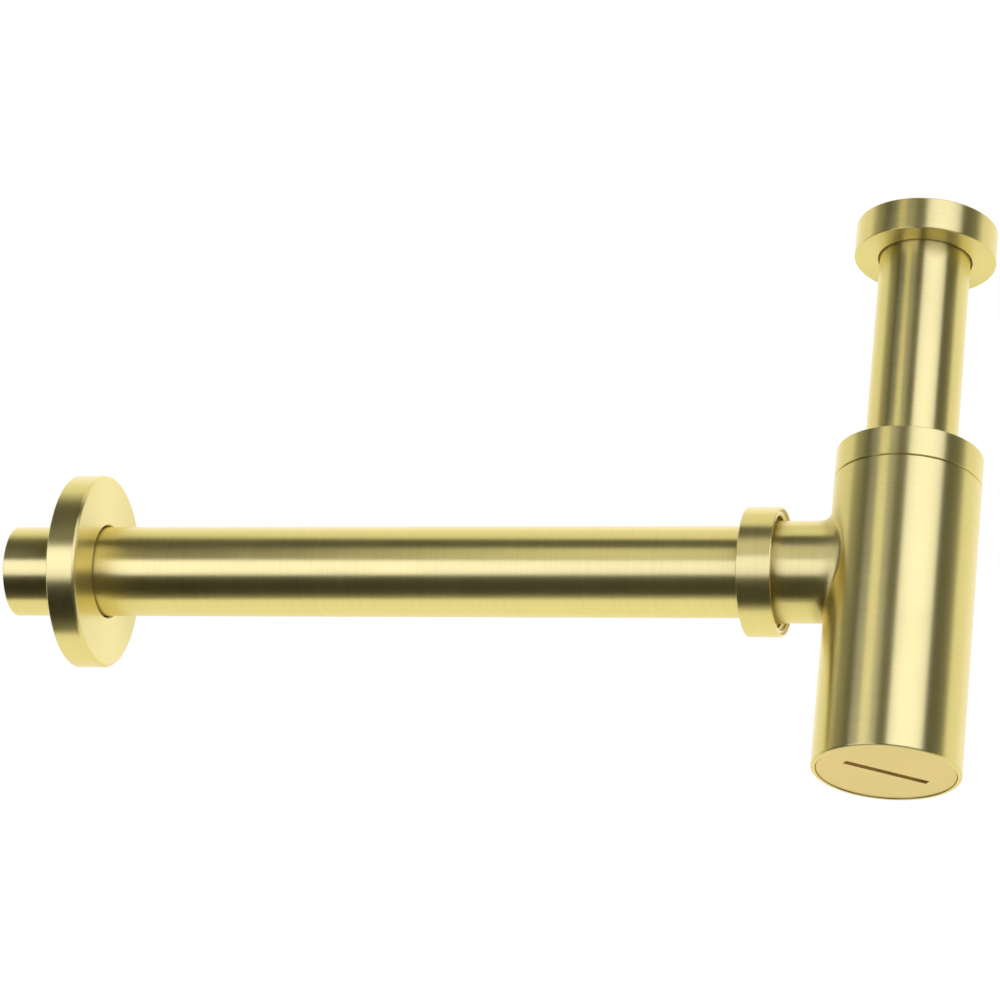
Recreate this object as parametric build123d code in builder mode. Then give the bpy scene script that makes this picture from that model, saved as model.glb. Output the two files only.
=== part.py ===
# Bottle trap for a wash basin, in brushed brass.
# Millimetres, +Z up. The origin is on the inlet's axis, where the basin waste lands on its gasket.
# The outlet tube runs along -X, and "out" below is the distance from the bottle's axis in that direction.
import os

from build123d import *

# Tubes
tube_r = 16.0
tube_wall = 1.2
dip_clearance = 13.9  # from the dip tube's end down to the plug's floor
outlet_tube_length = 298.0
tube_end_break = 0.3

# Fits
slip_gap = 0.35  # between a tube and the metal it passes through
seal_gap = 0.05  # between a tube and the rubber around it
seat_gap = 0.03  # between a seal and its conical seat
ring_gap = 0.2  # between a tube and a friction ring
pipe_thread_step = 4.955  # from a tube out to the outer radius of its G 1 1/4 thread
thread_depth = 1.45  # a screw thread's room between the two plain walls
thread_gap = 0.15  # left over from that room when both threads are in it

# Inlet nut, with the tube's flange and the gasket in it
inlet_nut_wall = 4.045
inlet_nut_height = 12.0
inlet_lip = 2.2
inlet_bore_gap = 0.75
inlet_pocket_step = 1.355  # from the pocket out to the thread's outer radius
tube_flange_gap = 0.6
tube_flange_thickness = 1.5
tube_flange_fillet = 0.4
inlet_gasket_thickness = 2.0
inlet_gasket_bore_step = 0.4  # its bore is this much wider than the tube's

# Cap nut on the bottle
top_thread_step = 7.0
top_nut_wall = 2.5
visible_inlet_tube = 77.0
top_nut_height = 10.8
top_nut_lip = 2.5
nut_seam = 0.2
ring_thickness = 1.0
seal_proud = 0.7
top_ring_width = 4.6
top_seat_width = 3.05  # a conical seat's mouth stands out this far from the bore below it
seat_foot = 0.55  # how far the foot of a conical seat stands out from the bore below it
seat_depth = 4.5
seal_short = 0.6  # a seal stops this far above the foot of its seat

# Bottle
body_height = 106.5
body_wall = 1.6
body_roof = 4.0
body_edge = 0.8
seam_break = 0.3
outlet_drop = 32.65  # from the bottle's shoulder down to the outlet's axis

# Clean-out at the bottom of the bottle
rim_wall = 1.5
plug_gap = 0.15
plug_recess = 0.3
plug_flange = 2.0
plug_floor = 4.0
plug_height = 7.7
plug_skirt_wall = 2.2
plug_edge = 0.2
cleanout_gasket_thickness = 1.5
cleanout_gasket_gap = 0.4
ledge_width = 2.4
ledge_thickness = 2.5
ledge_slope = 2.3
slot_margin = 8.35  # from each end of the slot to the plug's edge
slot_width = 2.8
slot_depth = 2.2
slot_angle = 35.0

# Side branch and its nut
branch_wall = 1.4
branch_fillet = 3.5
tube_stop_depth = 0.5  # the stop lies this far inside the bottle's outer wall
outlet_nut_wall = 1.545
outlet_nut_width = 12.0
visible_branch = 15.8  # from the bottle's wall to the nut's mouth
outlet_nut_lip = 2.4
collar_length = 5.0
outlet_ring_width = 3.4
outlet_seat_width = 2.15
nut_edge = 0.4
thread_mouth = 0.8

# Wall flange
flange_width = 18.5  # from the tube out to the flange's rim
wall_stub = 23.8  # how far the tube stands out behind the flange
flange_thickness = 10.7
flange_plate = 2.2
flange_rim_wall = 1.9
flange_front_edge = 1.4
flange_back_edge = 0.3
flange_bore_gap = 0.6
flange_bore_break = 0.4
hub_wall = 4.0
hub_length = 8.0
o_ring_section_r = 1.15
o_ring_groove_gap = 0.05
o_ring_groove_width = 2.8

# Levels and radii that follow from the sizes above
tube_bore_r = tube_r - tube_wall
pipe_thread_r = tube_r + pipe_thread_step
inlet_nut_r = pipe_thread_r + inlet_nut_wall
inlet_pocket_r = pipe_thread_r - inlet_pocket_step
tube_flange_r = inlet_pocket_r - tube_flange_gap
inlet_gasket_bore_r = tube_bore_r + inlet_gasket_bore_step
top_thread_r = tube_r + top_thread_step
body_r = top_thread_r + top_nut_wall
slip_r = tube_r + slip_gap
seal_r = tube_r + seal_gap
thread_room = thread_depth + thread_gap

tube_flange_top_z = -inlet_gasket_thickness
tube_flange_bottom_z = tube_flange_top_z - tube_flange_thickness
inlet_nut_bottom_z = tube_flange_bottom_z - inlet_lip
inlet_nut_top_z = inlet_nut_bottom_z + inlet_nut_height

top_nut_top_z = inlet_nut_bottom_z - visible_inlet_tube
top_nut_bottom_z = top_nut_top_z - top_nut_height
top_ring_top_z = top_nut_top_z - top_nut_lip
top_ring_bottom_z = top_ring_top_z - ring_thickness
neck_top_z = top_ring_bottom_z - seal_proud
neck_core_r = top_thread_r - thread_room
ring_bore_r = tube_r + ring_gap
top_ring_r = ring_bore_r + top_ring_width

body_top_z = top_nut_bottom_z - nut_seam
body_bottom_z = body_top_z - body_height
body_roof_z = body_top_z - body_roof
cavity_r = body_r - body_wall
outlet_z = body_top_z - outlet_drop
outlet_axis = Axis((0, 0, outlet_z), (-1, 0, 0))

rim_bore_r = body_r - rim_wall
plug_r = rim_bore_r - plug_gap
slot_length = 2 * (plug_r - slot_margin)
plug_face_z = body_bottom_z + plug_recess
plug_floor_z = plug_face_z + plug_floor
dip_end_z = plug_floor_z + dip_clearance
plug_top_z = plug_face_z + plug_height
plug_core_r = rim_bore_r - thread_room
ledge_z = plug_top_z + cleanout_gasket_thickness
ledge_r = rim_bore_r - ledge_width
ledge_top_z = ledge_z + ledge_thickness

outlet_nut_r = pipe_thread_r + outlet_nut_wall
outlet_nut_mouth_out = body_r + visible_branch
outlet_nut_face_out = outlet_nut_mouth_out + outlet_nut_width
outlet_ring_face_out = outlet_nut_face_out - outlet_nut_lip
outlet_seal_face_out = outlet_ring_face_out - ring_thickness
outlet_ring_r = ring_bore_r + outlet_ring_width
branch_end_out = outlet_seal_face_out - seal_proud
collar_start_out = branch_end_out - collar_length
collar_core_r = pipe_thread_r - thread_room
branch_r = slip_r + branch_wall
tube_stop_out = body_r - tube_stop_depth
outlet_tube_end_out = tube_stop_out + outlet_tube_length
branch_plane = Plane(origin=(0, 0, outlet_z), x_dir=(0, 1, 0), z_dir=(-1, 0, 0))

seat_foot_r = slip_r + seat_foot
top_seat_r = slip_r + top_seat_width
outlet_seat_r = slip_r + outlet_seat_width
seal_foot_share = seal_short / seat_depth
top_seal_foot_r = seat_foot_r + (top_seat_r - seat_foot_r) * seal_foot_share
outlet_seal_foot_r = seat_foot_r + (outlet_seat_r - seat_foot_r) * seal_foot_share

flange_r = tube_r + flange_width
flange_back_out = outlet_tube_end_out - wall_stub
flange_front_out = flange_back_out - flange_thickness
flange_plate_out = flange_front_out + flange_plate
flange_bore_r = tube_r + flange_bore_gap
hub_r = flange_bore_r + hub_wall
hub_back_out = flange_front_out + hub_length
o_ring_r = seal_r + o_ring_section_r
o_ring_out = (flange_plate_out + hub_back_out) / 2
groove_r = o_ring_r + o_ring_section_r + o_ring_groove_gap
groove_front_out = o_ring_out - o_ring_groove_width / 2
groove_back_out = o_ring_out + o_ring_groove_width / 2


def rims(piece, radius):
    """The round edges of a piece that have this radius."""
    return piece.edges().filter_by(GeomType.CIRCLE).filter_by(lambda edge: abs(edge.radius - radius) < 0.01)


# Inlet nut: turned from bar, with the female thread above a pocket for the tube's flange and the gasket
with BuildPart() as inlet_nut:
    with BuildSketch(Plane.XZ):
        with BuildLine():
            Polyline(
                (tube_r + inlet_bore_gap, inlet_nut_bottom_z),
                (inlet_nut_r, inlet_nut_bottom_z),
                (inlet_nut_r, inlet_nut_top_z),
                (pipe_thread_r, inlet_nut_top_z),
                (pipe_thread_r, 0),
                (inlet_pocket_r, 0),
                (inlet_pocket_r, tube_flange_bottom_z),
                (tube_r + inlet_bore_gap, tube_flange_bottom_z),
                close=True,
            )
        make_face()
    revolve(axis=Axis.Z)
    fillet(rims(inlet_nut, inlet_nut_r), radius=nut_edge)
    chamfer(rims(inlet_nut, pipe_thread_r).sort_by(Axis.Z)[-1:], length=thread_mouth)

# Inlet gasket: lies on the tube's flange
with BuildPart() as inlet_gasket:
    with BuildSketch(Plane.XY.offset(tube_flange_top_z)):
        Circle(tube_flange_r)
        Circle(inlet_gasket_bore_r, mode=Mode.SUBTRACT)
    extrude(amount=inlet_gasket_thickness)

# Inlet tube: its flange hangs on the nut's lip, its lower end is the dip tube in the water
with BuildPart() as inlet_tube:
    with BuildSketch(Plane.XY.offset(dip_end_z)):
        Circle(tube_r)
        Circle(tube_bore_r, mode=Mode.SUBTRACT)
    extrude(amount=tube_flange_top_z - dip_end_z)
    with BuildSketch(Plane.XY.offset(tube_flange_bottom_z)):
        Circle(tube_flange_r)
        Circle(tube_bore_r, mode=Mode.SUBTRACT)
    extrude(amount=tube_flange_thickness)
    fillet(rims(inlet_tube, tube_r).sort_by(Axis.Z)[-1:], radius=tube_flange_fillet)
    chamfer(rims(inlet_tube, tube_r).sort_by(Axis.Z)[:1], length=tube_end_break)

# Cap nut on the bottle
with BuildPart() as top_nut:
    with BuildSketch(Plane.XZ):
        with BuildLine():
            Polyline(
                (slip_r, top_ring_top_z),
                (slip_r, top_nut_top_z),
                (body_r, top_nut_top_z),
                (body_r, top_nut_bottom_z),
                (top_thread_r, top_nut_bottom_z),
                (top_thread_r, top_ring_top_z),
                close=True,
            )
        make_face()
    revolve(axis=Axis.Z)
    fillet(rims(top_nut, body_r).sort_by(Axis.Z)[-1:], radius=nut_edge)
    chamfer(rims(top_nut, body_r).sort_by(Axis.Z)[:1], length=seam_break)
    chamfer(rims(top_nut, top_thread_r).sort_by(Axis.Z)[:1], length=thread_mouth)

# Friction ring: lets the cap nut turn without twisting the seal
with BuildPart() as top_ring:
    with BuildSketch(Plane.XY.offset(top_ring_bottom_z)):
        Circle(top_ring_r)
        Circle(ring_bore_r, mode=Mode.SUBTRACT)
    extrude(amount=ring_thickness)

# Tapered seal in the bottle's neck
with BuildPart() as top_seal:
    with BuildSketch(Plane.XZ):
        with BuildLine():
            Polyline(
                (seal_r, neck_top_z - seat_depth + seal_short),
                (top_seal_foot_r - seat_gap, neck_top_z - seat_depth + seal_short),
                (top_seat_r - seat_gap, neck_top_z),
                (top_seat_r - seat_gap, top_ring_bottom_z),
                (seal_r, top_ring_bottom_z),
                close=True,
            )
        make_face()
    revolve(axis=Axis.Z)

# Bottle: outside with its threaded neck, then the branch and its collar, then everything bored out
with BuildPart() as trap_body:
    with BuildSketch(Plane.XZ):
        with BuildLine():
            Polyline(
                (0, body_bottom_z),
                (body_r, body_bottom_z),
                (body_r, body_top_z),
                (neck_core_r, body_top_z),
                (neck_core_r, neck_top_z),
                (0, neck_top_z),
                close=True,
            )
        make_face()
    revolve(axis=Axis.Z)
    fillet(rims(trap_body, body_r).sort_by(Axis.Z)[:1], radius=body_edge)
    chamfer(rims(trap_body, body_r).sort_by(Axis.Z)[-1:], length=seam_break)
    with BuildSketch(branch_plane):
        Circle(branch_r)
    extrude(amount=collar_start_out)
    saddle = trap_body.edges().filter_by(lambda edge: edge.geom_type not in (GeomType.CIRCLE, GeomType.LINE))
    fillet(saddle, radius=branch_fillet)
    with BuildSketch(branch_plane.offset(collar_start_out)):
        Circle(collar_core_r)
    extrude(amount=collar_length)
    with BuildSketch(Plane.XZ):
        with BuildLine():
            Polyline(
                (0, body_bottom_z),
                (rim_bore_r, body_bottom_z),
                (rim_bore_r, ledge_z),
                (ledge_r, ledge_z),
                (ledge_r, ledge_top_z),
                (cavity_r, ledge_top_z + ledge_slope),
                (cavity_r, body_roof_z),
                (slip_r, body_roof_z),
                (slip_r, neck_top_z - seat_depth),
                (seat_foot_r, neck_top_z - seat_depth),
                (top_seat_r, neck_top_z),
                (0, neck_top_z),
                close=True,
            )
        make_face()
    revolve(axis=Axis.Z, mode=Mode.SUBTRACT)
    with BuildSketch(Plane.XZ):
        with BuildLine():
            Polyline(
                (-tube_r, outlet_z),
                (-tube_r, outlet_z + tube_bore_r),
                (-tube_stop_out, outlet_z + tube_bore_r),
                (-tube_stop_out, outlet_z + slip_r),
                (-(branch_end_out - seat_depth), outlet_z + slip_r),
                (-(branch_end_out - seat_depth), outlet_z + seat_foot_r),
                (-branch_end_out, outlet_z + outlet_seat_r),
                (-branch_end_out, outlet_z),
                close=True,
            )
        make_face()
    revolve(axis=outlet_axis, mode=Mode.SUBTRACT)

# Clean-out plug: a slotted disc with a threaded skirt
with BuildPart() as cleanout_plug:
    with BuildSketch(Plane.XZ):
        with BuildLine():
            Polyline(
                (0, plug_face_z),
                (plug_r, plug_face_z),
                (plug_r, plug_face_z + plug_flange),
                (plug_core_r, plug_face_z + plug_flange),
                (plug_core_r, plug_top_z),
                (plug_core_r - plug_skirt_wall, plug_top_z),
                (plug_core_r - plug_skirt_wall, plug_floor_z),
                (0, plug_floor_z),
                close=True,
            )
        make_face()
    revolve(axis=Axis.Z)
    chamfer(rims(cleanout_plug, plug_r).sort_by(Axis.Z)[:1], length=plug_edge)
    with BuildSketch(Plane.XY.offset(plug_face_z)):
        Rectangle(slot_length, slot_width, rotation=slot_angle)
    extrude(amount=slot_depth, mode=Mode.SUBTRACT)

# Clean-out gasket: pressed by the plug's skirt against the ledge in the bottle
with BuildPart() as cleanout_gasket:
    with BuildSketch(Plane.XY.offset(plug_top_z)):
        Circle(rim_bore_r - cleanout_gasket_gap)
        Circle(plug_core_r - plug_skirt_wall + cleanout_gasket_gap, mode=Mode.SUBTRACT)
    extrude(amount=cleanout_gasket_thickness)

# Outlet nut: its lip faces the wall, its open mouth faces the bottle
with BuildPart() as outlet_nut:
    with BuildSketch(Plane.XZ):
        with BuildLine():
            Polyline(
                (-outlet_nut_mouth_out, outlet_z + pipe_thread_r),
                (-outlet_nut_mouth_out, outlet_z + outlet_nut_r),
                (-outlet_nut_face_out, outlet_z + outlet_nut_r),
                (-outlet_nut_face_out, outlet_z + slip_r),
                (-outlet_ring_face_out, outlet_z + slip_r),
                (-outlet_ring_face_out, outlet_z + pipe_thread_r),
                close=True,
            )
        make_face()
    revolve(axis=outlet_axis)
    fillet(rims(outlet_nut, outlet_nut_r), radius=nut_edge)
    chamfer(rims(outlet_nut, pipe_thread_r).sort_by(Axis.X)[-1:], length=thread_mouth)

# Friction ring in the outlet nut
with BuildPart() as outlet_ring:
    with BuildSketch(branch_plane.offset(outlet_seal_face_out)):
        Circle(outlet_ring_r)
        Circle(ring_bore_r, mode=Mode.SUBTRACT)
    extrude(amount=ring_thickness)

# Tapered seal in the branch's collar
with BuildPart() as outlet_seal:
    with BuildSketch(Plane.XZ):
        with BuildLine():
            Polyline(
                (-(branch_end_out - seat_depth + seal_short), outlet_z + seal_r),
                (-(branch_end_out - seat_depth + seal_short), outlet_z + outlet_seal_foot_r - seat_gap),
                (-branch_end_out, outlet_z + outlet_seat_r - seat_gap),
                (-outlet_seal_face_out, outlet_z + outlet_seat_r - seat_gap),
                (-outlet_seal_face_out, outlet_z + seal_r),
                close=True,
            )
        make_face()
    revolve(axis=outlet_axis)

# Outlet tube: pushed into the branch as far as its stop
with BuildPart() as outlet_tube:
    with BuildSketch(branch_plane.offset(tube_stop_out)):
        Circle(tube_r)
        Circle(tube_bore_r, mode=Mode.SUBTRACT)
    extrude(amount=outlet_tube_length)
    chamfer(rims(outlet_tube, tube_r), length=tube_end_break)

# Wall flange: a hollow cover, open to the wall, with a hub that carries the O-ring
with BuildPart() as wall_flange:
    with BuildSketch(Plane.XZ):
        with BuildLine():
            Polyline(
                (-flange_front_out, outlet_z + flange_bore_r),
                (-flange_front_out, outlet_z + flange_r),
                (-flange_back_out, outlet_z + flange_r),
                (-flange_back_out, outlet_z + flange_r - flange_rim_wall),
                (-flange_plate_out, outlet_z + flange_r - flange_rim_wall),
                (-flange_plate_out, outlet_z + hub_r),
                (-hub_back_out, outlet_z + hub_r),
                (-hub_back_out, outlet_z + flange_bore_r),
                (-groove_back_out, outlet_z + flange_bore_r),
                (-groove_back_out, outlet_z + groove_r),
                (-groove_front_out, outlet_z + groove_r),
                (-groove_front_out, outlet_z + flange_bore_r),
                close=True,
            )
        make_face()
    revolve(axis=outlet_axis)
    fillet(rims(wall_flange, flange_r).sort_by(Axis.X)[-1:], radius=flange_front_edge)
    chamfer(rims(wall_flange, flange_r).sort_by(Axis.X)[:1], length=flange_back_edge)
    chamfer(rims(wall_flange, flange_bore_r).sort_by(Axis.X)[-1:], length=flange_bore_break)

# O-ring in the flange's hub
with BuildPart() as flange_o_ring:
    with BuildSketch(Plane.XZ):
        with Locations((-o_ring_out, outlet_z + o_ring_r)):
            Circle(o_ring_section_r)
    revolve(axis=outlet_axis)

pieces = {
    "inlet_nut": inlet_nut,
    "inlet_gasket": inlet_gasket,
    "inlet_tube": inlet_tube,
    "top_nut": top_nut,
    "top_ring": top_ring,
    "top_seal": top_seal,
    "trap_body": trap_body,
    "cleanout_plug": cleanout_plug,
    "cleanout_gasket": cleanout_gasket,
    "outlet_nut": outlet_nut,
    "outlet_ring": outlet_ring,
    "outlet_seal": outlet_seal,
    "outlet_tube": outlet_tube,
    "wall_flange": wall_flange,
    "flange_o_ring": flange_o_ring,
}
os.makedirs("parts", exist_ok=True)
for label, piece in pieces.items():
    piece.part.label = label
    export_step(piece.part, f"parts/{label}.step")
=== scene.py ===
# %% [markdown]
# A bottle trap in brushed brass
# This lesson dresses a finished model of a basin trap: a nut and a tube hang down from the basin, a bottle holds the
# water, and a long tube with a round flange goes to the wall. The shapes are ready and stay as they are. What is left
# to do here is what a model shop does last: cut the screw threads, give every metal its finish, and light it.

# %% Load the finished model
import math

import bpy
from mathutils import Matrix, Vector


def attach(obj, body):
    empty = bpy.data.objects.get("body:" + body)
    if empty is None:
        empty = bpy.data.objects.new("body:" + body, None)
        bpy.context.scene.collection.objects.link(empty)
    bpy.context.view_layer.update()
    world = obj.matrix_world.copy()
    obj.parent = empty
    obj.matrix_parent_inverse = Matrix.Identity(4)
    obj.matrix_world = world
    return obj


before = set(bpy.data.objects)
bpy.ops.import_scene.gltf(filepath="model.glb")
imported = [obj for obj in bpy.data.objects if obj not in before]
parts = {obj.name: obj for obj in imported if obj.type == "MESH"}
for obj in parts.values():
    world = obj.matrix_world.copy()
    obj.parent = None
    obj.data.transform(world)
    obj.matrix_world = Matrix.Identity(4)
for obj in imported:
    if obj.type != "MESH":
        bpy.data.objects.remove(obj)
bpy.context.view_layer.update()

print("parts loaded:", ", ".join(sorted(parts)))

# %% [markdown]
# The camera
# The trap was photographed from in front and from below, with a long lens and the camera rolled a little. A camera
# can be turned by angles or by a matrix. The matrix is used here, because its columns say plainly which way is right,
# up and back, and a roll is then only a small turn of the first two.

# %% Place the camera
MM = 0.001
view_target = Vector((-145.54, 0.0, -98.45)) * MM
view_distance = 1501.4 * MM
view_turn = math.radians(16.75)
view_rise = math.radians(-24.30)
view_roll = math.radians(6.85)

back = Vector(
    (math.sin(view_turn) * math.cos(view_rise), -math.cos(view_turn) * math.cos(view_rise), math.sin(view_rise))
)
level_right = Vector((math.cos(view_turn), math.sin(view_turn), 0.0))
level_up = back.cross(level_right)
right = level_right * math.cos(view_roll) + level_up * math.sin(view_roll)
up = level_up * math.cos(view_roll) - level_right * math.sin(view_roll)

bpy.ops.object.camera_add()
camera = bpy.context.object
camera.name = "photo_camera"
camera.data.lens = 152.7
camera.data.sensor_width = 36.0
stand = Matrix.Translation(view_target + back * view_distance)
aim = Matrix((right, up, back)).transposed().to_4x4()
camera.matrix_world = stand @ aim
bpy.context.scene.camera = camera
print("camera stands at", [round(v, 3) for v in camera.location])

# %% [markdown]
# Shader nodes
# Every finish in this lesson, and the floor's paint too, is a small tree of shader nodes. Each node has to be made,
# set and linked. The helper makes a node and sets it in one call, so that the cells below are mostly links. Many of
# the nodes are noises. Their values rarely leave the middle, so they are stretched from the two ends named here.

# %% A helper for shader nodes
noise_low, noise_high = 0.3, 0.7


def add_node(tree, kind, **settings):
    """A new node with its properties set. The setting called inputs is a dict of socket names and values."""
    node = tree.nodes.new(kind)
    for key, value in settings.items():
        if key == "inputs":
            for socket, amount in value.items():
                node.inputs[socket].default_value = amount
        else:
            setattr(node, key, value)
    return node


# %% [markdown]
# The white room
# Brass has no colour of its own in the way that paint has: it shows the room, tinted gold. So the room is made first.
# A world of plain white at strength 1 is both the white background and the even light that falls on everything.
# Its light is left to the surfaces to find, and not to lamp sampling, so that the dark cards that come later are seen
# in the metal and throw no shadow over the floor.

# %% White all round
world = bpy.data.worlds.new("white_room")
bpy.context.scene.world = world
world.use_nodes = True
world.node_tree.nodes["Background"].inputs["Color"].default_value = (1.0, 1.0, 1.0, 1.0)
world.node_tree.nodes["Background"].inputs["Strength"].default_value = 1.0
world.cycles.sampling_method = "NONE"
bpy.context.scene.view_settings.view_transform = "Standard"
print("the room has strength", world.node_tree.nodes["Background"].inputs["Strength"].default_value)

# %% [markdown]
# The floor
# The floor lies far below, out of the photo, and shows only from above. Under the trap it is pale paint and takes a
# soft shadow. Further out it fades into the white of the room, so that no edge of it is ever seen.

# %% A pale floor and a ceiling lamp
floor_depth = -2.2
floor_reach = 6.0
shadow_reach, white_reach = 1.5, 5.5
pale_paint = (0.86, 0.86, 0.86, 1.0)

bpy.ops.object.select_all(action="DESELECT")
bpy.ops.mesh.primitive_circle_add(vertices=96, radius=floor_reach, fill_type="NGON", location=(0, 0, floor_depth))
floor = bpy.context.object
floor.name = "floor"

floor_paint = bpy.data.materials.new("pale_floor")
floor_paint.use_nodes = True
tree = floor_paint.node_tree
paint = tree.nodes["Principled BSDF"]
paint.inputs["Base Color"].default_value = pale_paint
paint.inputs["Roughness"].default_value = 0.9
where = add_node(tree, "ShaderNodeTexCoord")
far = add_node(tree, "ShaderNodeVectorMath", operation="LENGTH")
fade = add_node(
    tree,
    "ShaderNodeMapRange",
    interpolation_type="SMOOTHSTEP",
    inputs={"From Min": shadow_reach, "From Max": white_reach},
)
white = add_node(tree, "ShaderNodeEmission")
meet = add_node(tree, "ShaderNodeMixShader")
tree.links.new(where.outputs["Object"], far.inputs[0])
tree.links.new(far.outputs["Value"], fade.inputs["Value"])
tree.links.new(fade.outputs[0], meet.inputs["Fac"])
tree.links.new(paint.outputs[0], meet.inputs[1])
tree.links.new(white.outputs[0], meet.inputs[2])
tree.links.new(meet.outputs[0], tree.nodes["Material Output"].inputs["Surface"])
floor.data.materials.append(floor_paint)

bpy.ops.object.light_add(type="AREA", location=(0.3, -0.6, 2.2))
ceiling_lamp = bpy.context.object
ceiling_lamp.name = "ceiling_lamp"
ceiling_lamp.data.shape = "DISK"
ceiling_lamp.data.size = 1.0
ceiling_lamp.data.energy = 25.0
to_trap = Vector((-0.15, 0.0, -0.1)) - ceiling_lamp.location
ceiling_lamp.rotation_euler = to_trap.to_track_quat("-Z", "Y").to_euler()
ceiling_lamp.visible_camera = False
ceiling_lamp.visible_glossy = False
print("floor lies", -floor_depth, "m below the inlet")

# %% [markdown]
# A dark room in front
# The trap was lit in the way that polished metal usually is: a white cove behind it and a dark room on the camera's
# side, with bright diffusers in that dark. The brass then shows long highlights with crisp edges. The dark room is
# made of curved screens. They could be bent from flat sheets, but it is easier to spin a piece of a hoop round the
# trap. Only reflections see them, so they hide nothing from the camera and throw no shadow on the floor.

# %% Helpers for studio sheets
studio_centre = Vector((-0.12, 0.0, -0.11))
plain_white = (1.0, 1.0, 1.0, 1.0)


def glow_only(piece, level, tint=plain_white):
    """Gives a studio sheet an even glow that only reflections see."""
    paper = bpy.data.materials.new(piece.name)
    paper.use_nodes = True
    nodes = paper.node_tree.nodes
    nodes.remove(nodes["Principled BSDF"])
    glow = nodes.new("ShaderNodeEmission")
    glow.inputs["Color"].default_value = tint
    glow.inputs["Strength"].default_value = level
    paper.node_tree.links.new(glow.outputs["Emission"], nodes["Material Output"].inputs["Surface"])
    piece.data.materials.append(paper)
    piece.visible_camera = False
    piece.visible_diffuse = False
    piece.visible_transmission = False
    piece.visible_shadow = False
    print(piece.name, "has level", level)


def pick_points(piece, wanted):
    """Opens a piece for editing with only the points selected whose place passes the test."""
    bpy.ops.object.mode_set(mode="EDIT")
    bpy.ops.mesh.select_mode(type="VERT")
    bpy.ops.mesh.select_all(action="DESELECT")
    bpy.ops.object.mode_set(mode="OBJECT")
    for point in piece.data.vertices:
        point.select = wanted(point.co)
    bpy.ops.object.mode_set(mode="EDIT")


# %% [markdown]
# Three dark screens
# The lowest one is nearly black and reaches under the trap. Above it stands a dark grey one, and on the left a lighter
# one softens the step from the dark room to the white of the cove.

# %% Spin the dark screens
screen_reach = 1.4
hoop_points = 180
step_angle = 3.0


def spin_screen(name, turns, rises, level):
    """A curved screen round the trap. Turn 0 is in front of it and 90 is on its right; rise is above the horizon."""
    bpy.ops.object.select_all(action="DESELECT")
    bpy.ops.mesh.primitive_circle_add(vertices=hoop_points, radius=screen_reach, rotation=(math.pi / 2, 0, 0))
    screen = bpy.context.object
    screen.name = name
    bpy.ops.object.transform_apply(rotation=True)
    low, high = (math.radians(rise) for rise in rises)
    pick_points(screen, lambda co: co.x < 0 or not low < math.atan2(co.z, co.x) < high)
    bpy.ops.mesh.delete(type="VERT")
    bpy.ops.mesh.select_all(action="SELECT")
    sweep = turns[1] - turns[0]
    steps = round(sweep / step_angle)
    bpy.ops.mesh.spin(steps=steps, angle=math.radians(sweep), center=(0, 0, 0), axis=(0, 0, 1))
    bpy.ops.object.mode_set(mode="OBJECT")
    # The piece of hoop stands on the right of the trap, at a turn of 90, and is swept to the left from there.
    screen.rotation_euler = (0, 0, math.radians(turns[1] - 90.0))
    screen.location = studio_centre
    glow_only(screen, level)


spin_screen("dark_low", turns=(-109, 101), rises=(-83, -7), level=0.055)
spin_screen("dark_high", turns=(-62.5, 101), rises=(-9, 63), level=0.12)
spin_screen("dim_left", turns=(-83.5, -62.5), rises=(-9, 63), level=0.28)

# %% [markdown]
# Diffusers and flags
# Flat sheets glow in front of the dark screens. The wide one low in front lights the long tube, the tall one on the
# right lights the bottle, and a small dim one above the first fills the shadow between them. Another dim one stands so
# near the branch that hardly anything but the branch and its nut shows it. A black flag keeps the fill off the wall
# flange, and a second one lies under the flange and deepens its shadow. Two more sheets are the brightest parts of the
# white cove, behind and below. Lamps could do the same, but a sheet that glows at a known level is easier to reason
# about: the brass shows that level times its own colour. The two diffusers are a little cooler than the cove, which
# keeps the highlights from turning yellow, and the fills are a little warmer.

# %% Stand the diffusers up
card_reach = 1.2
daylight = (0.86, 0.89, 1.35, 1.0)
warm_wall = (1.0, 0.98, 0.76, 1.0)
cool_cove = (0.98, 1.0, 1.2, 1.0)


def stand_card(name, turns, rises, level, lean=0.0, reach=card_reach, tint=plain_white):
    """A flat card that faces the trap and fills these turns and rises. Lean turns it in its own plane."""
    turn, rise = (math.radians(sum(ends) / 2) for ends in (turns, rises))
    half_turn, half_rise = (math.radians(abs(ends[1] - ends[0]) / 2) for ends in (turns, rises))
    aim = Vector((math.sin(turn) * math.cos(rise), -math.cos(turn) * math.cos(rise), math.sin(rise)))
    bpy.ops.object.select_all(action="DESELECT")
    bpy.ops.mesh.primitive_plane_add(size=2.0)
    card = bpy.context.object
    card.name = name
    card.scale = (math.tan(half_turn) * math.cos(rise) * reach, math.tan(half_rise) * reach, 1.0)
    card.rotation_mode = "QUATERNION"
    leaning = Matrix.Rotation(math.radians(lean), 3, "Z").to_quaternion()
    card.rotation_quaternion = aim.to_track_quat("Z", "Y") @ leaning
    card.location = studio_centre + aim * reach
    glow_only(card, level, tint)


stand_card("front_diffuser", turns=(-47, -4), rises=(-30.5, 5), level=2.12, tint=daylight)
stand_card("right_diffuser", turns=(12.5, 64), rises=(-24, 44), level=2.1, lean=-8, tint=daylight)
stand_card("upper_fill", turns=(-33, -19.5), rises=(6, 36), level=0.85, tint=warm_wall)
stand_card("branch_fill", turns=(-16, 2.5), rises=(5, 33), level=1.15, reach=0.30, tint=warm_wall)
stand_card("flange_flag", turns=(-52, -26), rises=(3, 56), level=0.035, reach=0.61)
stand_card("cove_top", turns=(128, 232), rises=(10, 76), level=1.2, tint=cool_cove)
stand_card("cove_floor", turns=(118, 242), rises=(-88, -6), level=1.05)

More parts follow.
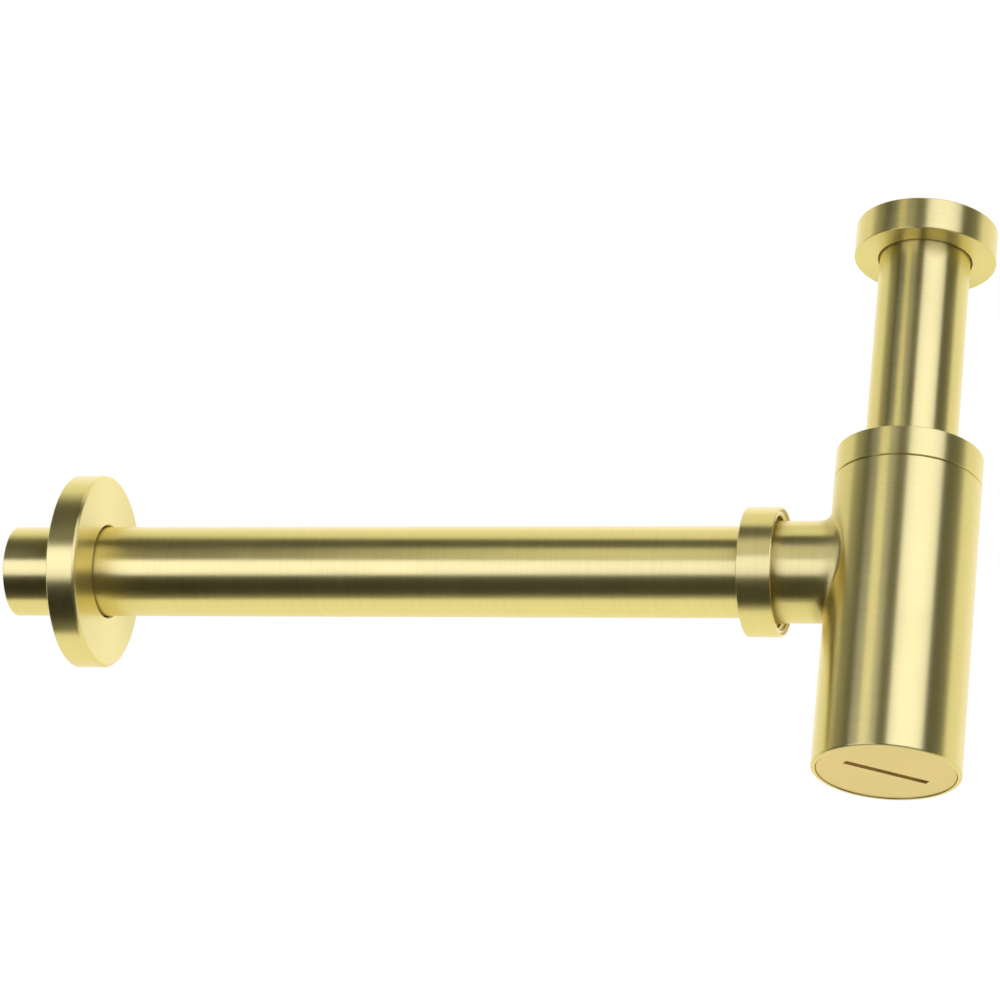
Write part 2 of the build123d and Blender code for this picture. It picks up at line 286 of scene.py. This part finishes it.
under_flange = (-0.450, -0.162, -0.376)
bpy.ops.object.select_all(action="DESELECT")
bpy.ops.mesh.primitive_plane_add(size=1.0, location=under_flange)
floor_flag = bpy.context.object
floor_flag.name = "floor_flag"
floor_flag.scale = (0.300, 0.395, 1.0)
glow_only(floor_flag, 0.01)

# %% [markdown]
# Brush lines
# The finish is cut with an abrasive belt while the piece turns, so every line runs round the piece's own axis: hoops
# on a tube, rings on a flat face. A noise that is squeezed along the axis and along the radius, and left long in the
# other two directions, gives both at once. It is a node group, because every brass in this lesson needs it. The group
# also tells a bore from an outside: in a bore the surface faces its own axis, and nobody brushes there. On its way
# round, a line changes only some thirty times in a metre.

# %% A node group for the lines
changes_round = 30.0
bore_starts, bore_full = -0.3, -0.6
brush = bpy.data.node_groups.new("Brush lines", "ShaderNodeTree")
brush.interface.new_socket("Place", in_out="INPUT", socket_type="NodeSocketVector")
brush.interface.new_socket("Facing", in_out="INPUT", socket_type="NodeSocketVector")
brush.interface.new_socket("Lines per metre", in_out="INPUT", socket_type="NodeSocketFloat").default_value = 1300.0
brush.interface.new_socket("Lines", in_out="OUTPUT", socket_type="NodeSocketFloat")
brush.interface.new_socket("Haze", in_out="OUTPUT", socket_type="NodeSocketFloat")
brush.interface.new_socket("Bore", in_out="OUTPUT", socket_type="NodeSocketFloat")

lines_in = add_node(brush, "NodeGroupInput")
lines_out = add_node(brush, "NodeGroupOutput")
split = add_node(brush, "ShaderNodeSeparateXYZ")
flat_place = add_node(brush, "ShaderNodeVectorMath", operation="MULTIPLY")
flat_place.inputs[1].default_value = (1.0, 1.0, 0.0)
radius = add_node(brush, "ShaderNodeVectorMath", operation="LENGTH")
along_fine = add_node(brush, "ShaderNodeMath", operation="MULTIPLY")
radius_fine = add_node(brush, "ShaderNodeMath", operation="MULTIPLY")
long_x = add_node(brush, "ShaderNodeMath", operation="MULTIPLY")
long_x.inputs[1].default_value = changes_round
long_y = add_node(brush, "ShaderNodeMath", operation="MULTIPLY")
long_y.inputs[1].default_value = changes_round
squeezed = add_node(brush, "ShaderNodeCombineXYZ")
scratches = add_node(
    brush, "ShaderNodeTexNoise", noise_dimensions="4D", inputs={"Scale": 1.0, "Detail": 4.0, "Roughness": 0.7}
)
cloud = add_node(brush, "ShaderNodeTexNoise", inputs={"Scale": 55.0, "Detail": 4.0, "Roughness": 0.55})
brush.links.new(lines_in.outputs["Place"], split.inputs[0])
brush.links.new(lines_in.outputs["Place"], flat_place.inputs[0])
brush.links.new(flat_place.outputs[0], radius.inputs[0])
brush.links.new(split.outputs["Z"], along_fine.inputs[0])
brush.links.new(lines_in.outputs["Lines per metre"], along_fine.inputs[1])
brush.links.new(radius.outputs["Value"], radius_fine.inputs[0])
brush.links.new(lines_in.outputs["Lines per metre"], radius_fine.inputs[1])
brush.links.new(split.outputs["X"], long_x.inputs[0])
brush.links.new(split.outputs["Y"], long_y.inputs[0])
brush.links.new(along_fine.outputs[0], squeezed.inputs["X"])
brush.links.new(radius_fine.outputs[0], squeezed.inputs["Y"])
brush.links.new(long_x.outputs[0], squeezed.inputs["Z"])
brush.links.new(squeezed.outputs[0], scratches.inputs["Vector"])
brush.links.new(long_y.outputs[0], scratches.inputs["W"])
brush.links.new(lines_in.outputs["Place"], cloud.inputs["Vector"])
brush.links.new(scratches.outputs[0], lines_out.inputs["Lines"])
brush.links.new(cloud.outputs[0], lines_out.inputs["Haze"])

outward = add_node(brush, "ShaderNodeVectorMath", operation="NORMALIZE")
faces_out = add_node(brush, "ShaderNodeVectorMath", operation="DOT_PRODUCT")
bore = add_node(
    brush,
    "ShaderNodeMapRange",
    interpolation_type="SMOOTHSTEP",
    inputs={"From Min": bore_starts, "From Max": bore_full, "To Min": 0.0, "To Max": 1.0},
)
brush.links.new(flat_place.outputs[0], outward.inputs[0])
brush.links.new(outward.outputs[0], faces_out.inputs[0])
brush.links.new(lines_in.outputs["Facing"], faces_out.inputs[1])
brush.links.new(faces_out.outputs["Value"], bore.inputs["Value"])
brush.links.new(bore.outputs[0], lines_out.inputs["Bore"])
print("node group", brush.name, "has", len(brush.nodes), "nodes")

# %% [markdown]
# Brushed brass
# Brushed metal spreads a reflection across its lines and keeps it sharp along them. The Principled shader does that
# with its Anisotropic value and a tangent. The tangent here is the direction of the lines, worked out as the cross
# product of the turning axis and the place on the piece, and a quarter turn of Anisotropic Rotation lays the spread
# across them. A clear lacquer keeps the brass from tarnishing: it is the shader's coat, and it whitens the highlights.

# %% Helpers for a brass with lines round its axis
outlet_axis_z = -126.35 * MM
brushed_tones = ((0.690, 0.586, 0.192, 1.0), (0.835, 0.711, 0.250, 1.0))
matt_tones = ((0.700, 0.555, 0.235, 1.0), (0.780, 0.630, 0.275, 1.0))
cut_tones = ((0.68, 0.54, 0.18, 1.0), (0.82, 0.67, 0.25, 1.0))
# Raw metal for the bores; in the bottle's corner the same darker colour is painted shade in the crease.
raw_brass_and_corner_shade = (0.64, 0.53, 0.19, 1.0)
raw_rough = 0.55
edge_tint = (1.0, 0.94, 0.72, 1.0)
satin_play = 0.04
line_share = 0.6
groove_depth = 2.0e-6


def lay_lines(tree, where, axis, centre):
    """Places the brush lines round an axis. Gives the group and the direction of the lines."""
    from_axis = add_node(tree, "ShaderNodeVectorMath", operation="SUBTRACT")
    from_axis.inputs[1].default_value = centre
    upright = add_node(tree, "ShaderNodeMapping")
    facing = add_node(tree, "ShaderNodeMapping", vector_type="VECTOR")
    turn = Vector(axis).rotation_difference((0, 0, 1)).to_euler()
    upright.inputs["Rotation"].default_value = turn
    facing.inputs["Rotation"].default_value = turn
    lines = add_node(tree, "ShaderNodeGroup", node_tree=brush)
    around = add_node(tree, "ShaderNodeVectorMath", operation="CROSS_PRODUCT")
    around.inputs[0].default_value = axis
    tree.links.new(where.outputs["Object"], from_axis.inputs[0])
    tree.links.new(from_axis.outputs[0], upright.inputs["Vector"])
    tree.links.new(where.outputs["Normal"], facing.inputs["Vector"])
    tree.links.new(upright.outputs[0], lines.inputs["Place"])
    tree.links.new(facing.outputs[0], lines.inputs["Facing"])
    tree.links.new(from_axis.outputs[0], around.inputs[1])
    return lines, around.outputs[0]


def finish_brass(material, lines, haze, bore, around, tones=brushed_tones, satin=0.335, sweep=0.93, lacquer=0.35):
    """Wires a brass shader: tone, roughness and height from the lines and the haze, raw metal in the bore.

    Satin is the roughness, sweep is how much more a reflection spreads across the lines than along them."""
    tree = material.node_tree
    shader = tree.nodes["Principled BSDF"]
    shader.inputs["Metallic"].default_value = 1.0
    shader.inputs["Specular Tint"].default_value = edge_tint
    shader.inputs["Anisotropic"].default_value = sweep
    shader.inputs["Anisotropic Rotation"].default_value = 0.25
    shader.inputs["Coat Roughness"].default_value = 0.22
    shader.inputs["Coat IOR"].default_value = 1.5
    to_world = add_node(
        tree, "ShaderNodeVectorTransform", vector_type="VECTOR", convert_from="OBJECT", convert_to="WORLD"
    )
    tree.links.new(around, to_world.inputs[0])
    tree.links.new(to_world.outputs[0], shader.inputs["Tangent"])

    tone = add_node(tree, "ShaderNodeMix", data_type="RGBA")
    tone.inputs["A"].default_value = tones[0]
    tone.inputs["B"].default_value = tones[1]
    inside = add_node(tree, "ShaderNodeMix", data_type="RGBA")
    inside.inputs["B"].default_value = raw_brass_and_corner_shade
    tree.links.new(lines, tone.inputs["Factor"])
    tree.links.new(tone.outputs["Result"], inside.inputs["A"])
    tree.links.new(bore, inside.inputs["Factor"])
    tree.links.new(inside.outputs["Result"], shader.inputs["Base Color"])

    coat = add_node(tree, "ShaderNodeMapRange", inputs={"To Min": lacquer, "To Max": 0.0})
    tree.links.new(bore, coat.inputs["Value"])
    tree.links.new(coat.outputs[0], shader.inputs["Coat Weight"])

    both = add_node(tree, "ShaderNodeMix", data_type="FLOAT", inputs={"Factor": line_share})
    sheen = add_node(
        tree,
        "ShaderNodeMapRange",
        inputs={
            "From Min": noise_low,
            "From Max": noise_high,
            "To Min": satin - satin_play,
            "To Max": satin + satin_play,
        },
    )
    dull = add_node(tree, "ShaderNodeMix", data_type="FLOAT")
    dull.inputs["B"].default_value = raw_rough
    tree.links.new(haze, both.inputs["A"])
    tree.links.new(lines, both.inputs["B"])
    tree.links.new(both.outputs["Result"], sheen.inputs["Value"])
    tree.links.new(sheen.outputs[0], dull.inputs["A"])
    tree.links.new(bore, dull.inputs["Factor"])
    tree.links.new(dull.outputs["Result"], shader.inputs["Roughness"])

    grooves = add_node(tree, "ShaderNodeBump", inputs={"Strength": 1.0, "Distance": groove_depth})
    tree.links.new(lines, grooves.inputs["Height"])
    tree.links.new(grooves.outputs[0], shader.inputs["Normal"])


def brush_brass(name, axis, centre, **finish):
    """Brass for a piece that was turned on one axis."""
    material = bpy.data.materials.new(name)
    material.use_nodes = True
    tree = material.node_tree
    where = add_node(tree, "ShaderNodeTexCoord")
    lines, around = lay_lines(tree, where, axis, centre)
    finish_brass(material, lines.outputs["Lines"], lines.outputs["Haze"], lines.outputs["Bore"], around, **finish)
    print("finish", name, "has its lines round", axis)
    return material


def dress(names, material):
    """Gives parts of the model one finish in place of the plain one that they came with."""
    for name in names:
        parts[name].data.materials.clear()
        parts[name].data.materials.append(material)


# %% [markdown]
# Three turned brasses
# The nuts and tubes were all turned and brushed in the same way, so one helper makes their finish. Only the axis
# differs: upright from the basin down to the bottle, level from the branch to the wall. The level pieces have slightly
# shallower lines, so they spread a reflection a little less. The plug was blasted and not brushed, and it has no
# lacquer, because a coin turns it and would scratch one. It shows a matt face with hardly any sweep.

# %% Brass for the upright and the level pieces
upright_axis, upright_centre = (0, 0, 1), (0, 0, 0)
level_axis, level_centre = (1, 0, 0), (0, 0, outlet_axis_z)
upright_brass = brush_brass("brushed_brass_upright", upright_axis, upright_centre)
level_brass = brush_brass("brushed_brass_level", level_axis, level_centre, sweep=0.85)
plug_brass = brush_brass(
    "matt_brass_plug", upright_axis, upright_centre, tones=matt_tones, satin=0.42, sweep=0.1, lacquer=0.0
)
dress(["inlet_nut", "inlet_tube", "top_nut"], upright_brass)
dress(["cleanout_plug"], plug_brass)
dress(["outlet_nut", "outlet_tube", "wall_flange"], level_brass)

# %% [markdown]
# The bottle
# The bottle was brushed twice: round itself, and round the branch that grows out of its side. The change from one to
# the other is in the rounded corner between them. Two materials would need an edge there, and the brush leaves none,
# so one material lays both sets of lines and blends them by how far a place is from the bottle's axis. The branch's
# lines run out over the whole corner and stop at the bottle's wall. In the corner the finish is mixed toward rough,
# unlacquered raw metal, whose darker colour there is painted shade in the crease; it dies out along the branch.

# %% Brass for the bottle
bottle_wall = 25.5 * MM
lines_change = (bottle_wall + 0.02 * MM, bottle_wall + 0.5 * MM)
corner_ends = (bottle_wall + 1.5 * MM, bottle_wall + 5.5 * MM)
# How far the bottle's corner goes toward raw metal: rougher and unlacquered, and darker as painted shade in the
# crease.
corner_raw_and_shade_share = 0.6


def rise_between(tree, ends):
    """A node that climbs softly from 0 to 1 between two distances."""
    return add_node(
        tree,
        "ShaderNodeMapRange",
        interpolation_type="SMOOTHSTEP",
        inputs={"From Min": ends[0], "From Max": ends[1]},
    )


bottle_brass = bpy.data.materials.new("brushed_brass_bottle")
bottle_brass.use_nodes = True
tree = bottle_brass.node_tree
where = add_node(tree, "ShaderNodeTexCoord")
bottle_lines, round_bottle = lay_lines(tree, where, upright_axis, upright_centre)
branch_lines, round_branch = lay_lines(tree, where, level_axis, level_centre)
to_side = add_node(tree, "ShaderNodeVectorMath", operation="MULTIPLY")
to_side.inputs[1].default_value = (1.0, 1.0, 0.0)
distance = add_node(tree, "ShaderNodeVectorMath", operation="LENGTH")
on_branch = rise_between(tree, lines_change)
past_corner = rise_between(tree, corner_ends)
tree.links.new(where.outputs["Object"], to_side.inputs[0])
tree.links.new(to_side.outputs[0], distance.inputs[0])
tree.links.new(distance.outputs["Value"], on_branch.inputs["Value"])
tree.links.new(distance.outputs["Value"], past_corner.inputs["Value"])

blended = {}
for output in ("Lines", "Haze", "Bore"):
    blend = add_node(tree, "ShaderNodeMix", data_type="FLOAT")
    tree.links.new(on_branch.outputs[0], blend.inputs["Factor"])
    tree.links.new(bottle_lines.outputs[output], blend.inputs["A"])
    tree.links.new(branch_lines.outputs[output], blend.inputs["B"])
    blended[output] = blend.outputs["Result"]
# The corner is mixed toward raw metal: its roughness is a real finish, its darker colour is painted shade in the
# crease.
away = add_node(tree, "ShaderNodeMath", operation="SUBTRACT", use_clamp=True)
away.inputs[0].default_value = 1.0
corner = add_node(tree, "ShaderNodeMath", operation="MULTIPLY")
raw_and_shaded_corner = add_node(tree, "ShaderNodeMath", operation="MULTIPLY_ADD", use_clamp=True)
raw_and_shaded_corner.inputs[1].default_value = corner_raw_and_shade_share
tree.links.new(past_corner.outputs[0], away.inputs[1])
tree.links.new(on_branch.outputs[0], corner.inputs[0])
tree.links.new(away.outputs[0], corner.inputs[1])
tree.links.new(corner.outputs[0], raw_and_shaded_corner.inputs[0])
tree.links.new(blended["Bore"], raw_and_shaded_corner.inputs[2])
blended["Bore"] = raw_and_shaded_corner.outputs[0]

turn_lines = add_node(tree, "ShaderNodeMix", data_type="VECTOR")
tree.links.new(on_branch.outputs[0], turn_lines.inputs["Factor"])
# A Mix node has an A and a B for every kind of value, and the vector ones are picked by their numbers.
tree.links.new(round_bottle, turn_lines.inputs[4])
tree.links.new(round_branch, turn_lines.inputs[5])
finish_brass(bottle_brass, *blended.values(), turn_lines.outputs[1])
dress(["trap_body"], bottle_brass)
print("the bottle's finish has", len(tree.nodes), "nodes")

# %% [markdown]
# Screw threads
# Each nut and the plug are held by a screw thread: a ridge that climbs round a wall by one pitch in every turn. The
# solids only leave room for it, and it shows between the outlet nut and the branch, in the top of the inlet nut, and
# wherever a nut is undone. A thread can be carved or added. It is added here, as a ridge whose section is a small
# tapered block: the Screw modifier carries the section round and up, and two flat cuts trim it to the wall's length.
# The depth and the width of its foot are shares of the pitch, and the crest's width is a share of the foot's.

# %% A helper that adds one thread
ridge_seat = 0.05 * MM
deepest_ridge = 1.45
ridge_depth, foot_width, crest_width = 0.64, 0.84, 0.2
steps_per_turn = 72
crease_angle = math.radians(25)


def trim(height, keep_above):
    """Cuts the mesh that is being edited straight across at this height and closes the cut."""
    bpy.ops.mesh.select_all(action="SELECT")
    bpy.ops.mesh.bisect(
        plane_co=(0, 0, height),
        plane_no=(0, 0, 1),
        use_fill=True,
        clear_inner=keep_above,
        clear_outer=not keep_above,
    )


def add_thread(name, body, wall, pitch, bottom, top, inward, shift=0.0, level=False):
    """A right-handed thread on a round wall, from bottom to top along its axis, all in millimetres.

    Inward threads stand on the wall of a bore and outward ones on a neck. Shift moves it along by a share of a pitch,
    so that the two halves of a joint lie between each other. A level thread is on the outlet's axis."""
    depth = min(deepest_ridge, ridge_depth * pitch) * MM
    side = -1 if inward else 1
    foot = wall * MM - side * ridge_seat
    crest = wall * MM + side * depth
    start = (math.floor(bottom / pitch) - 1 + shift) * pitch * MM
    turns = math.ceil((top - bottom) / pitch) + 3
    bpy.ops.object.select_all(action="DESELECT")
    bpy.ops.mesh.primitive_plane_add(
        size=1.0,
        location=((foot + crest) / 2, 0, start),
        rotation=(math.pi / 2, 0, 0),
    )
    ridge = bpy.context.object
    ridge.name = name
    ridge.scale = (abs(crest - foot), foot_width * pitch * MM, 1.0)
    bpy.ops.object.transform_apply(location=True, rotation=True, scale=True)

    bpy.ops.object.mode_set(mode="EDIT")
    bpy.ops.mesh.delete(type="ONLY_FACE")
    bpy.ops.object.mode_set(mode="OBJECT")
    pick_points(ridge, lambda co: abs(co.x - crest) < ridge_seat)
    bpy.ops.transform.resize(value=(1, 1, crest_width))
    bpy.ops.object.mode_set(mode="OBJECT")

    sweep = ridge.modifiers.new("climb", "SCREW")
    sweep.axis = "Z"
    sweep.angle = math.tau
    sweep.screw_offset = pitch * MM
    sweep.iterations = turns
    sweep.steps = steps_per_turn
    sweep.render_steps = steps_per_turn
    bpy.ops.object.modifier_apply(modifier="climb")

    bpy.ops.object.mode_set(mode="EDIT")
    trim(bottom * MM, keep_above=True)
    trim(top * MM, keep_above=False)
    bpy.ops.mesh.select_all(action="SELECT")
    bpy.ops.mesh.normals_make_consistent(inside=False)
    bpy.ops.object.mode_set(mode="OBJECT")
    bpy.ops.object.shade_smooth_by_angle(angle=crease_angle)
    if level:
        ridge.rotation_euler = (0, -math.pi / 2, 0)
        ridge.location = (0, 0, outlet_axis_z)
        bpy.ops.object.transform_apply(location=True, rotation=True, scale=False)
    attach(ridge, body)
    shown = round((top - bottom) / pitch, 1)
    print(name, "rides on", body, "with", len(ridge.data.polygons), "faces and", shown, "turns")
    return ridge


# %% [markdown]
# Where the threads go
# The inlet and the outlet have the common pipe thread of 11 turns to the inch, a pitch of 2.309 mm. The cap nut and
# the clean-out plug have finer ones. A bore and the neck in it share a joint, so one of the two is shifted by half a
# pitch, and each rides on the piece that it is cut in: when a nut is undone, its thread climbs off with it.

# %% Thread every joint
pipe_pitch, cap_pitch, plug_pitch = 2.309, 2.0, 1.5
pipe_bore, cap_bore, rim_bore = 20.955, 23.0, 24.0
branch_neck, bottle_neck, plug_wall = 19.355, 21.4, 22.4
upright_threads = [
    add_thread("inlet_nut_thread", "inlet_nut", pipe_bore, pipe_pitch, 0.2, 5.6, inward=True),
    add_thread("top_nut_thread", "top_nut", cap_bore, cap_pitch, -92.7, -86.4, inward=True, shift=0.5),
    add_thread("neck_thread", "bottle", bottle_neck, cap_pitch, -92.7, -87.1, inward=False),
    add_thread("bottle_rim_thread", "bottle", rim_bore, plug_pitch, -197.5, -192.6, inward=True, shift=0.5),
    add_thread("plug_thread", "cleanout_plug", plug_wall, plug_pitch, -197.5, -192.5, inward=False),
]
level_threads = [
    add_thread(
        "outlet_nut_thread", "outlet_nut", pipe_bore, pipe_pitch, 42.0, 49.6, inward=True, shift=0.5, level=True
    ),
    add_thread("branch_thread", "bottle", branch_neck, pipe_pitch, 44.4, 49.0, inward=False, level=True),
]

# %% [markdown]
# Cut brass
# A thread is cut by a tool and never brushed, so it keeps a brighter and smoother face than the outside. It takes the
# same brass with a lower roughness, less sweep and no lacquer.

# %% Finish the threads
cut_finish = {"tones": cut_tones, "satin": 0.24, "sweep": 0.5, "lacquer": 0.0}
cut_upright = brush_brass("cut_brass_upright", upright_axis, upright_centre, **cut_finish)
cut_level = brush_brass("cut_brass_level", level_axis, level_centre, **cut_finish)
for ridge in upright_threads:
    ridge.data.materials.append(cut_upright)
for ridge in level_threads:
    ridge.data.materials.append(cut_level)

# %% [markdown]
# Rubber and nylon
# Inside the nuts are the pieces that make the joints tight: black rubber washers and tapered seals, and thin rings of
# white nylon that let a nut turn without dragging the rubber round. Rubber is matt and slightly dusty, nylon is milky
# with a soft shine. Both need the same thing, a fine grain in colour, roughness and height, so it is a node group.

# %% A grain for moulded pieces
grain = bpy.data.node_groups.new("Moulded grain", "ShaderNodeTree")
grain.interface.new_socket("Place", in_out="INPUT", socket_type="NodeSocketVector")
grain.interface.new_socket("Speck", in_out="OUTPUT", socket_type="NodeSocketFloat")
grain.interface.new_socket("Cloud", in_out="OUTPUT", socket_type="NodeSocketFloat")
grain_in = add_node(grain, "NodeGroupInput")
grain_out = add_node(grain, "NodeGroupOutput")
speck = add_node(grain, "ShaderNodeTexNoise", inputs={"Scale": 2600.0, "Detail": 2.0, "Roughness": 0.6})
dust = add_node(grain, "ShaderNodeTexNoise", inputs={"Scale": 160.0, "Detail": 4.0, "Roughness": 0.6})
grain.links.new(grain_in.outputs["Place"], speck.inputs["Vector"])
grain.links.new(grain_in.outputs["Place"], dust.inputs["Vector"])
grain.links.new(speck.outputs[0], grain_out.inputs["Speck"])
grain.links.new(dust.outputs[0], grain_out.inputs["Cloud"])


def mould(name, dark, pale, smooth, rough, pimple):
    """A moulded material between two colours and two roughnesses."""
    material = bpy.data.materials.new(name)
    material.use_nodes = True
    tree = material.node_tree
    shader = tree.nodes["Principled BSDF"]
    where = add_node(tree, "ShaderNodeTexCoord")
    skin = add_node(tree, "ShaderNodeGroup", node_tree=grain)
    tone = add_node(tree, "ShaderNodeMix", data_type="RGBA")
    tone.inputs["A"].default_value = dark
    tone.inputs["B"].default_value = pale
    polish = add_node(
        tree,
        "ShaderNodeMapRange",
        inputs={"From Min": noise_low, "From Max": noise_high, "To Min": smooth, "To Max": rough},
    )
    bumps = add_node(tree, "ShaderNodeBump", inputs={"Strength": 1.0, "Distance": pimple})
    tree.links.new(where.outputs["Object"], skin.inputs["Place"])
    tree.links.new(skin.outputs["Cloud"], tone.inputs["Factor"])
    tree.links.new(skin.outputs["Cloud"], polish.inputs["Value"])
    tree.links.new(skin.outputs["Speck"], bumps.inputs["Height"])
    tree.links.new(tone.outputs["Result"], shader.inputs["Base Color"])
    tree.links.new(polish.outputs[0], shader.inputs["Roughness"])
    tree.links.new(bumps.outputs[0], shader.inputs["Normal"])
    print("finish", name)
    return material


black_rubber, dusty_rubber = (0.010, 0.010, 0.011, 1), (0.035, 0.034, 0.033, 1)
milky_nylon, white_nylon = (0.70, 0.69, 0.65, 1), (0.80, 0.79, 0.76, 1)
rubber = mould("washer_rubber", black_rubber, dusty_rubber, smooth=0.50, rough=0.72, pimple=12e-6)
nylon = mould("ring_nylon", milky_nylon, white_nylon, smooth=0.30, rough=0.44, pimple=5e-6)
dress(["inlet_gasket", "top_seal", "outlet_seal", "cleanout_gasket", "flange_o_ring"], rubber)
dress(["top_ring", "outlet_ring"], nylon)
